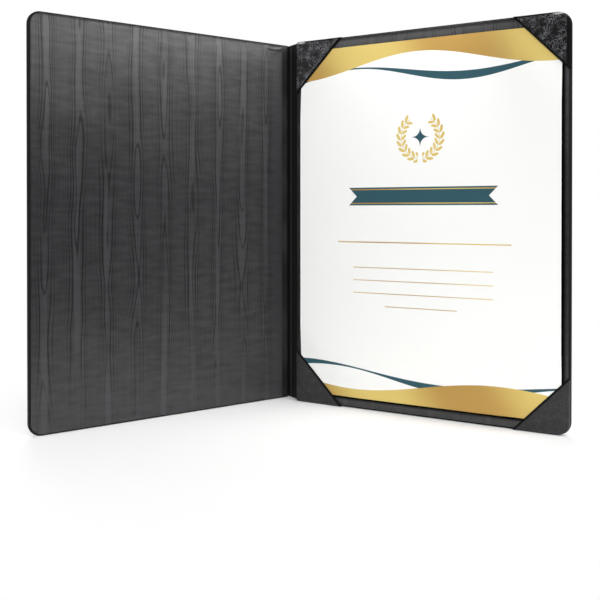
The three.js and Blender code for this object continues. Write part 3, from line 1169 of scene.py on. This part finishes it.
@dataclass
class CreasedSpine:
    """The spine: leatherette outside and a tape inside, both folded at the creases to the covers."""

    sizes: CoverSizes
    planes: dict[Side, CoverPlane]
    finish: bpy.types.Material
    fold_finish: bpy.types.Material
    tape_finish: bpy.types.Material
    reach: float = 2.0
    groove: float = 0.35
    groove_width: float = 1.1
    tape: float = 0.6
    gap: float = 0.1
    inset: float = 0.5
    tuck: float = 10.0
    tuck_depth: float = 0.05
    tape_round: float = 1.2
    tape_spacing: float = 1.5
    levels: int = 24
    bend_steps: int = 4
    flat_steps: int = 9
    fold_steps: int = 31

    @property
    def way(self) -> np.ndarray:
        """The vector from the back crease to the front crease."""
        return self.planes[Side.FRONT].crease - self.planes[Side.BACK].crease

    def heading(self, side: Side) -> tuple[np.ndarray, np.ndarray]:
        """The unit vectors along the spine to a crease, and from the spine to the inside."""
        ahead = self.way * -side.value / np.linalg.norm(self.way)
        return ahead, np.array([ahead[1], -ahead[0]]) * side.value

    def ribbon(self, line: np.ndarray, half: float, margin: float) -> tuple[np.ndarray, np.ndarray]:
        """A strip of constant section: a line thickened to both sides, with half-round head and foot.

        Args:
            line: points along the middle of the section, as distance and depth.
            half: half of the thickness.
            margin: how far its edges stay from the foot and the head of the cover.

        Returns:
            Section points at each level, as distance and depth, and the heights of those points.
        """
        low, high = margin, self.sizes.height - margin
        tangent = np.gradient(line, axis=0)
        tangent /= np.linalg.norm(tangent, axis=1, keepdims=True)
        normal = np.stack([-tangent[:, 1], tangent[:, 0]], axis=1)
        bend = np.linspace(0.0, QUARTER, self.bend_steps + 1)
        straight = np.linspace(low + half, high - half, self.levels)[1:-1]
        rounding = half * (1.0 - np.cos(bend))
        heights = np.concatenate([low + rounding, straight, high - rounding[::-1]])
        full = np.concatenate([np.sin(bend), np.ones(len(straight)), np.sin(bend[::-1])])
        swell = half * full[:, None, None] * normal[None]
        section = np.concatenate([line[None] + swell, (line[None] - swell)[:, ::-1]], axis=1)
        return section, np.broadcast_to(heights[:, None], section.shape[:2])

    def folded(self, side: Side, section: np.ndarray, heights: np.ndarray) -> np.ndarray:
        """Folds a flat section at a crease as far as the cover is turned from the spine.

        A point turns about the crease by the cover's turn times a soft step of its distance, which rises
        from 0 on the spine to 1 on the cover.

        Args:
            side: which crease.
            section: section points at each level, as distance from the crease and depth.
            heights: the heights of the points.

        Returns:
            Points in metres.
        """
        plane = self.planes[side]
        ahead, inside = self.heading(side)
        turn = math.atan2(ahead[0] * plane.along[1] - ahead[1] * plane.along[0], float(ahead @ plane.along))
        along, offset = section[..., 0], section[..., 1] - self.sizes.skin / 2
        angle = turn * smooth((along + self.reach) / (2 * self.reach))
        flat = along[..., None] * ahead + offset[..., None] * inside
        cosine, sine = np.cos(angle), np.sin(angle)
        x = flat[..., 0] * cosine - flat[..., 1] * sine
        y = flat[..., 0] * sine + flat[..., 1] * cosine
        return np.stack([plane.crease[0] + x, plane.crease[1] + y, heights], axis=-1) * MM

    def strip(
        self, side: Side, name: str, line: np.ndarray, half: float, middle: float, finish: bpy.types.Material
    ) -> bpy.types.Object:
        """Makes half of a strip, from the middle of the spine over a crease, where it is folded.

        Args:
            side: which crease it crosses.
            name: the name of the piece.
            line: the middle of its flat section, as distance from the crease and depth.
            half: half of its thickness.
            middle: its depth at the crease.
            finish: its material.

        Returns:
            The piece.
        """
        section, heights = self.ribbon(line, half, self.inset)
        points = self.folded(side, section, heights)
        pattern = np.concatenate([section, heights[..., None]], axis=-1)
        piece = make_piece(name, points, grid_faces(*heights.shape, wrap=True), pattern, finish)
        plane = self.planes[side]
        ahead, inside = self.heading(side)
        chord = ahead + plane.along
        chord /= np.linalg.norm(chord)
        offset = middle - self.sizes.skin / 2
        span = self.reach * float(ahead @ chord) - offset * float(inside @ chord)
        ends = [np.append(plane.crease + sign * span * chord, 0.0) * MM for sign in (-1, 1)]
        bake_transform(piece)
        return piece

    def build(self) -> None:
        """Makes the skin and the inner tape, in two halves each that meet in the middle of the spine."""
        skin = self.sizes.skin
        bend_start = -1.5 * self.reach
        flat = np.linspace(-float(np.linalg.norm(self.way)) / 2, bend_start, self.flat_steps + 1)[:-1]
        along = np.concatenate([flat, np.linspace(bend_start, self.sizes.start, self.fold_steps + 1)])
        dip = self.groove * bell(along, self.groove_width)
        layers = (
            ("leather", "spine_skin", skin / 2, skin / 2, self.finish),
            ("tape", "spine_liner", self.tape / 2, skin + self.gap + self.tape / 2, self.fold_finish),
        )
        for side in Side:
            for name, node, half, depth, finish in layers:
                line = np.stack([along, depth + dip], axis=1)
                piece = self.strip(side, f"spine_{name}_{side.label}_half", line, half, depth, finish)
                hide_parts(node)
            self.hinge_tape(side)

    def hinge_tape(self, side: Side) -> None:
        """Makes the part of the tape on one cover: up the edge of the board and in under the lining.

        Args:
            side: which cover.
        """
        sizes, half = self.sizes, self.tape / 2
        wall = sizes.start + half
        top = sizes.shell_depth + self.tuck_depth - half
        corners = [(wall, sizes.skin + self.gap + half), (wall, top), (sizes.lining_box[0] + self.tuck, top)]
        line, _ = filleted_path(corners, [self.tape_round] * 3, self.tape_spacing, closed=False)
        section, heights = self.ribbon(line, half, sizes.skin + 2 * self.gap)
        points = self.planes[side].place(section[..., 0], section[..., 1], heights)
        pattern = np.concatenate([section, heights[..., None]], axis=-1)
        faces = grid_faces(*heights.shape, wrap=True)
        piece = make_piece(f"{side.label}_hinge_tape", points, faces, pattern, self.tape_finish)
        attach(piece, side.body)
        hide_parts(f"{side.label}_hinge_strip")


@dataclass
class CornerPocket:
    """A corner pocket: a triangle of leatherette drawn round the edges, with a hem on its diagonal."""

    at_fore: bool
    at_top: bool
    sizes: CoverSizes
    plane: CoverPlane
    finish: bpy.types.Material
    fore_leg: float = 41.8
    spine_leg: float = 44.8
    inset: float = 0.3
    spine_inset: float = 1.0
    leather: float = 0.7
    wall_foot: float = 4.0
    roll: float = 1.2
    hem: float = 2.6
    hem_rise: float = 0.4
    hem_tip: float = 0.3
    least_face: float = 2.5
    bulge: float = 0.7
    bulge_reach: float = 22.0
    bulge_start: float = 7.0
    crinkle: float = 0.4
    crinkle_lengths: tuple[float, float] = (5.0, 2.6)
    spine_corner: float = 1.6
    end_width: float = 0.8
    spacing: float = 0.9
    roll_steps: int = 5
    hem_steps: int = 8
    face_steps: int = 29

    @property
    def node(self) -> str:
        """The CAD node that the pocket stands for."""
        return f"pocket_{'top' if self.at_top else 'bottom'}_{'fore' if self.at_fore else 'spine'}"

    def section(self, reach: np.ndarray) -> tuple[np.ndarray, np.ndarray, np.ndarray]:
        """The section from the foot of the outer wall over the pocket to the hem, and back on the inside.

        The wall turns into the face on a quarter circle. The folded hem rises a little and rolls down to the
        sheet on a quarter of an ellipse.

        Args:
            reach: the length of the section at each place along the pocket.

        Returns:
            Distances from the outline at each place, depths, and how far each depth follows the bulge.
        """
        roll, leather, tip = self.roll, self.leather, self.hem_tip
        floor = self.sizes.pocket_depth
        face = floor + leather
        bend = np.linspace(0.0, QUARTER, self.roll_steps + 1)
        fold = np.linspace(0.0, QUARTER, self.hem_steps + 1)
        span = np.linspace(0.0, 1.0, self.face_steps + 1)[1:-1]
        near = np.concatenate([[0.0, 0.0], roll * (1.0 - np.cos(bend))])
        wall = [self.wall_foot, (self.wall_foot + face - roll) / 2]
        nose = self.hem * (1.0 - np.sin(fold))
        nose_depth = floor + tip + (leather + self.hem_rise - tip) * np.cos(fold)
        under = np.array([0.1, 0.8, self.hem])
        scale = np.minimum(1.0, reach / (roll + self.hem + self.least_face))[:, None]
        total = reach[:, None]
        start, stop = near[-1] * scale, total - nose[0] * scale
        turn, foot = total - self.hem * scale, leather * 1.6 * scale
        distance = np.concatenate(
            [
                near * scale,
                start + (stop - start) * span,
                total - nose * scale,
                total - under * scale,
                turn + (foot - turn) * span,
                leather * scale,
            ],
            axis=1,
        )
        depth = np.concatenate(
            [
                wall,
                face - roll + roll * np.sin(bend),
                face + self.hem_rise * smooth(span * 1.6 - 0.6),
                nose_depth,
                [floor + 0.05, floor, floor],
                np.full(len(span), floor),
                [self.wall_foot],
            ]
        )
        arch = np.sin(math.pi * span) ** 0.8
        held = np.zeros(len(nose) + len(under))
        follow = np.concatenate([np.zeros(len(near)), arch, held, arch[::-1], [0.0]])
        return distance, depth, follow

    def build(self) -> None:
        """Makes the pocket as one closed shell, whose section runs from its outline to its diagonal."""
        low = self.inset
        side = self.inset if self.at_fore else self.spine_inset
        shift = self.end_width / math.sqrt(2)
        leg = (self.fore_leg if self.at_fore else self.spine_leg) - 2 * shift
        radius = self.sizes.corner_radius - low if self.at_fore else self.spine_corner
        corners = [(leg - low, low), (side, low), (side, leg - side)]
        outline, _ = filleted_path(corners, [radius] * 3, self.spacing, closed=False)
        step = np.linalg.norm(np.diff(outline, axis=0), axis=1)
        share = np.concatenate([[0.0], np.cumsum(step)]) / step.sum()
        first, last = np.array(corners[0]) + shift, np.array(corners[2]) + shift
        across = first + share[:, None] * (last - first) - outline
        reach = np.linalg.norm(across, axis=1)
        distance, depth, follow = self.section(reach)
        plan = outline[:, None] + distance[..., None] * (across / reach[:, None])[:, None]
        x, y = plan[..., 0], plan[..., 1]
        swell = np.minimum(1.0, reach / self.bulge_reach)[:, None] * follow
        swell = swell * smooth(np.minimum(x, y) / self.bulge_start)
        seed = 50 + 2 * self.at_fore + self.at_top
        long, short = self.crinkle_lengths
        wrinkle = ripple(x, y, long, seed) + 0.6 * ripple(x, y, short, seed + 7)
        depths = depth + swell * (self.bulge + self.crinkle * wrinkle)
        along = self.sizes.end - x if self.at_fore else self.sizes.start + x
        height = self.sizes.height - y if self.at_top else y
        points = capped(self.plane.place(along, depths, height))
        pattern = capped(np.stack([along, height, reach[:, None] - distance], axis=-1))
        faces = grid_faces(*points.shape[:2], wrap=True)
        piece = make_piece(f"{self.node}_leather", points, faces, pattern, self.finish)
        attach(piece, Side.BACK.body)
        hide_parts(self.node)


@dataclass
class CertificateSheet:
    """The sheet in the pockets: paper that bows a little off the lining between its held corners."""

    sizes: CoverSizes
    plane: CoverPlane
    finish: bpy.types.Material
    stand_off: float = 1.2
    held: float = 27.0
    rise: float = 30.0
    step: float = 4.0

    def build(self) -> None:
        """Makes the sheet as a closed thin grid.

        It stands off the lining evenly, but for its corners, which the pockets hold down.
        """
        sizes = self.sizes
        ends = sizes.sheet_width, sizes.sheet_height
        x, y = np.meshgrid(*(np.linspace(0.0, end, int(end / self.step)) for end in ends), indexing="ij")
        to_edges = np.minimum(x, ends[0] - x) + np.minimum(y, ends[1] - y)
        back = sizes.sheet_depth + self.stand_off * smooth((to_edges - self.held) / self.rise)
        along = sizes.start + sizes.spine_margin + x
        height = sizes.end_margin + y
        layers = (back + sizes.sheet, back)
        points = np.stack([self.plane.place(along, depth, height) for depth in layers])
        pattern = np.stack([np.stack([x, y, depth], axis=-1) for depth in layers])
        face = grid_faces(*x.shape, wrap=False)
        number = np.arange(x.size).reshape(x.shape)
        border = np.concatenate([number[:-1, 0], number[-1, :-1], number[:0:-1, -1], number[0, :0:-1]])
        ahead = np.roll(border, -1)
        rim = np.stack([border, ahead, ahead + x.size, border + x.size], axis=1)
        faces = np.concatenate([face, face + x.size, rim])
        piece = make_piece("certificate_sheet", points, faces, pattern, self.finish, Edge.CRISP)
        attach(piece, Side.BACK.body)
        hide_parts("certificate")


@dataclass
class HiddenCore:
    """The flat pieces inside the covers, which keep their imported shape: foam, boards and lining cards."""

    board: bpy.types.Material
    foam: bpy.types.Material

    def dress(self) -> None:
        """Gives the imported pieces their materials."""
        for side in Side:
            for part, material in (("pad", self.foam), ("board", self.board), ("lining_card", self.board)):
                node = frame["nodes"][f"{side.label}_{part}"]
                node.data.materials.clear()
                node.data.materials.append(material)
                log.info("%s: dressed as %s", node.name, material.name)


@dataclass(frozen=True)
class SoftBox:
    """A soft box that faces a point, with lengths in millimetres and its power in watts."""

    name: str
    place: tuple[float, float, float]
    target: tuple[float, float, float]
    size: tuple[float, float]
    power: float

    def hang(self) -> None:
        """Adds the lamp to the scene."""
        light = bpy.data.lights.new(self.name, "AREA")
        light.shape = "RECTANGLE"
        light.size, light.size_y = (s * MM for s in self.size)
        light.energy = self.power
        lamp = bpy.data.objects.new(self.name, light)
        lamp.location = Vector(self.place) * MM
        lamp.rotation_euler = (Vector(self.target) - Vector(self.place)).to_track_quat("-Z", "Y").to_euler()
        bpy.context.scene.collection.objects.link(lamp)


@dataclass
class Studio:
    """The floor, the light and the camera."""

    floor_half: float = 4.0
    floor_colour: str = "#f4f4f4"
    far_floor: str = "#7a7a7a"
    dim: tuple[float, float] = (0.3, 0.6)
    fade: tuple[float, float] = (0.15, 0.32)
    camera_place: tuple[float, float, float] = (-32.63, -704.44, 158.27)
    camera_heading: float = -2.905
    camera_pitch: float = -0.451
    sensor: float = 36.0
    lens: float = 55.07
    shift: float = -0.1378
    sky: float = 0.15
    low_sky: float = 0.02
    sky_height: float = 0.6
    boxes: tuple[SoftBox, ...] = (
        SoftBox("right_softbox", (860.0, -700.0, 800.0), (-60.0, 20.0, 180.0), (1000.0, 900.0), 11.6),
        SoftBox("left_softbox", (-1000.0, -520.0, 450.0), (60.0, 20.0, 220.0), (900.0, 300.0), 2.6),
        SoftBox("front_softbox", (-250.0, -1100.0, 1300.0), (20.0, 0.0, 140.0), (1200.0, 900.0), 16.0),
        SoftBox("rear_softbox", (0.0, 1150.0, 900.0), (0.0, 60.0, 150.0), (1400.0, 700.0), 20.0),
        SoftBox("top_strip", (110.0, -60.0, 350.0), (-60.0, 25.0, 280.0), (200.0, 80.0), 0.19),
    )

    def build(self) -> None:
        """Makes the whole set: soft boxes on four sides, and a strip between the open covers."""
        self.floor()
        self.world()
        for box in self.boxes:
            box.hang()
        self.camera()

    def floor(self) -> None:
        """Makes a pale floor that keeps the shadow and shows white away from the object."""
        half = self.floor_half
        mesh = bpy.data.meshes.new("floor")
        corners = [(-half, -half, 0.0), (half, -half, 0.0), (half, half, 0.0), (-half, half, 0.0)]
        mesh.from_pydata(corners, [], [(0, 1, 2, 3)])
        floor = bpy.data.objects.new("floor", mesh)
        bpy.context.scene.collection.objects.link(floor)
        material = bpy.data.materials.new("matt_white_paint")
        material.use_nodes = True
        tree = material.node_tree
        tree.nodes.clear()
        spot = add_node(tree, "TexCoord").outputs["Object"]
        length = add_node(tree, "VectorMath", {"operation": "LENGTH"}, {0: spot})
        far = Field(tree, length.outputs["Value"])
        # Painted falloff of light: the floor's colour darkens from 0.3 m to 0.6 m out, which the cloth's gleam
        # reflects; the camera sees white there
        tints = {"Color1": self.floor_colour, "Color2": self.far_floor}
        tint = add_node(tree, "MixRGB", inputs={"Fac": far.step(*self.dim), **tints})
        paint = add_node(tree, "BsdfDiffuse", inputs={"Color": tint})
        glow = add_node(tree, "Emission", inputs={"Strength": 1.0})
        white = far.step(*self.fade) * add_node(tree, "LightPath").outputs["Is Camera Ray"]
        mixed = add_node(tree, "MixShader", inputs={0: white, 1: paint, 2: glow})
        add_node(tree, "OutputMaterial", inputs={"Surface": mixed})
        mesh.materials.append(material)

    def world(self) -> None:
        """Makes a sky that shows white, and lights and gleams more from above than from the horizon."""
        world = bpy.data.worlds.new("studio")
        world.use_nodes = True
        tree = world.node_tree
        tree.nodes.clear()
        path = add_node(tree, "LightPath")
        shown = Field(tree, path.outputs["Is Camera Ray"]) | path.outputs["Is Transmission Ray"]
        way = add_node(tree, "TexCoord").outputs["Generated"]
        high = Field(tree, add_node(tree, "SeparateXYZ", inputs={"Vector": way}).outputs["Z"])
        lit = high.step(0.0, self.sky_height) * (self.sky - self.low_sky) + self.low_sky
        sky = add_node(tree, "Background", inputs={"Color": "#ffffff", "Strength": shown | lit})
        add_node(tree, "OutputWorld", inputs={"Surface": sky})
        bpy.context.scene.world = world

    def camera(self) -> None:
        """Makes the camera at the height of the covers' middle, with its picture shifted down."""
        data = bpy.data.cameras.new("camera")
        data.lens = self.lens
        data.sensor_width = self.sensor
        data.shift_y = self.shift
        camera = bpy.data.objects.new("camera", data)
        camera.location = Vector(self.camera_place) * MM
        tilt, heading = math.radians(90.0 + self.camera_pitch), math.radians(self.camera_heading)
        camera.rotation_euler = (tilt, 0.0, heading)
        bpy.context.scene.collection.objects.link(camera)
        bpy.context.scene.camera = camera
        bpy.context.scene.view_settings.view_transform = "Standard"


def main() -> None:
    """Builds the holder and its set in order."""
    logging.basicConfig(level=logging.INFO, format="%(name)s: %(message)s")
    sizes = CoverSizes()
    low, _, _, top = sizes.lining_box
    # The band under the top edge that the top pockets paint dark: painted shade of the rim
    painted_head_shade = (sizes.height - 1.0, sizes.height - 2.2)
    leatherette = Leatherette("calendered_leatherette").make()
    wrapped = Leatherette("wrapped_leatherette", wrapped="Z").make()
    # The spine tape takes the dark edge colour over all but a strip at the middle of the spine: painted shade of
    # the deep crease
    folded = Leatherette(
        "folded_leatherette", edge="#0f0f10", wrapped="X", polish=(-9.0, -8.0), turned=(-8.4, -6.8)
    ).make()
    tape = Leatherette("hinge_leatherette", dark="#242425", light="#373739", grain=1.4).make()
    # The top pockets carry a painted glint on the top edge by the corner, and painted shade along the hem and the
    # rim
    crinkled = CrinkledLeatherette(
        "crinkled_leatherette",
        side=(sizes.end - 1.9, sizes.end - 3.1),
        head=painted_head_shade,
        rubbed=(sizes.end - 8.5, top),
    ).make()
    # A copy of the crinkled leatherette for the top-spine pocket, its ground painted lighter against the shade by
    # the front cover
    lifted_crinkled = CrinkledLeatherette(
        "eased_leatherette",
        valley="#242425",
        ridge="#7c7c7f",
        worm_height=0.25,
        head=painted_head_shade,
        rubbed=(sizes.start + 6.0, top),
    ).make()
    # A copy for the lower pockets, with fainter painted glints in its colour, since less light grazes them from
    # above
    drawn = CrinkledLeatherette(
        "drawn_leatherette", valley="#373738", ridge="#454547", worm_height=0.1
    ).make()
    pucker = (low + sizes.pucker_place, top)
    # The head tuples set the band under the top edge that is painted dark: painted shade of the rolled edge
    moire = WateredCloth("moire_rayon", (top - 1.8, top - 0.4), puckered=pucker, pucker_sag=sizes.pucker_sag)
    # The back lining takes a painted shadow round the sheet and a painted gleam above it
    pressed = WateredCloth("pressed_moire_rayon", (top - 2.8, top - 0.8), pressed=sizes.sheet_box)
    linings = {Side.FRONT: moire.make(), Side.BACK: pressed.make()}
    paper = PrintedPaper("printed_paper", sizes.sheet_width, sizes.sheet_height).make()
    board = PulpBoard("grey_pulp_board").make()
    foam = FoamSheet("polyurethane_foam").make()
    planes = {side: CoverPlane.from_frame(side, sizes.skin) for side in Side}
    for side in Side:
        PaddedCover(side, sizes, planes[side], wrapped).build()
        ClothLining(side, sizes, planes[side], linings[side]).build()
    CreasedSpine(sizes, planes, leatherette, folded, tape).build()
    for at_top in (True, False):
        for at_fore in (True, False):
            leather = (crinkled if at_fore else lifted_crinkled) if at_top else drawn
            CornerPocket(at_fore, at_top, sizes, planes[Side.BACK], leather).build()
    CertificateSheet(sizes, planes[Side.BACK], paper).build()
    HiddenCore(board, foam).dress()
    Studio().build()


if __name__ == "__main__":
    main()
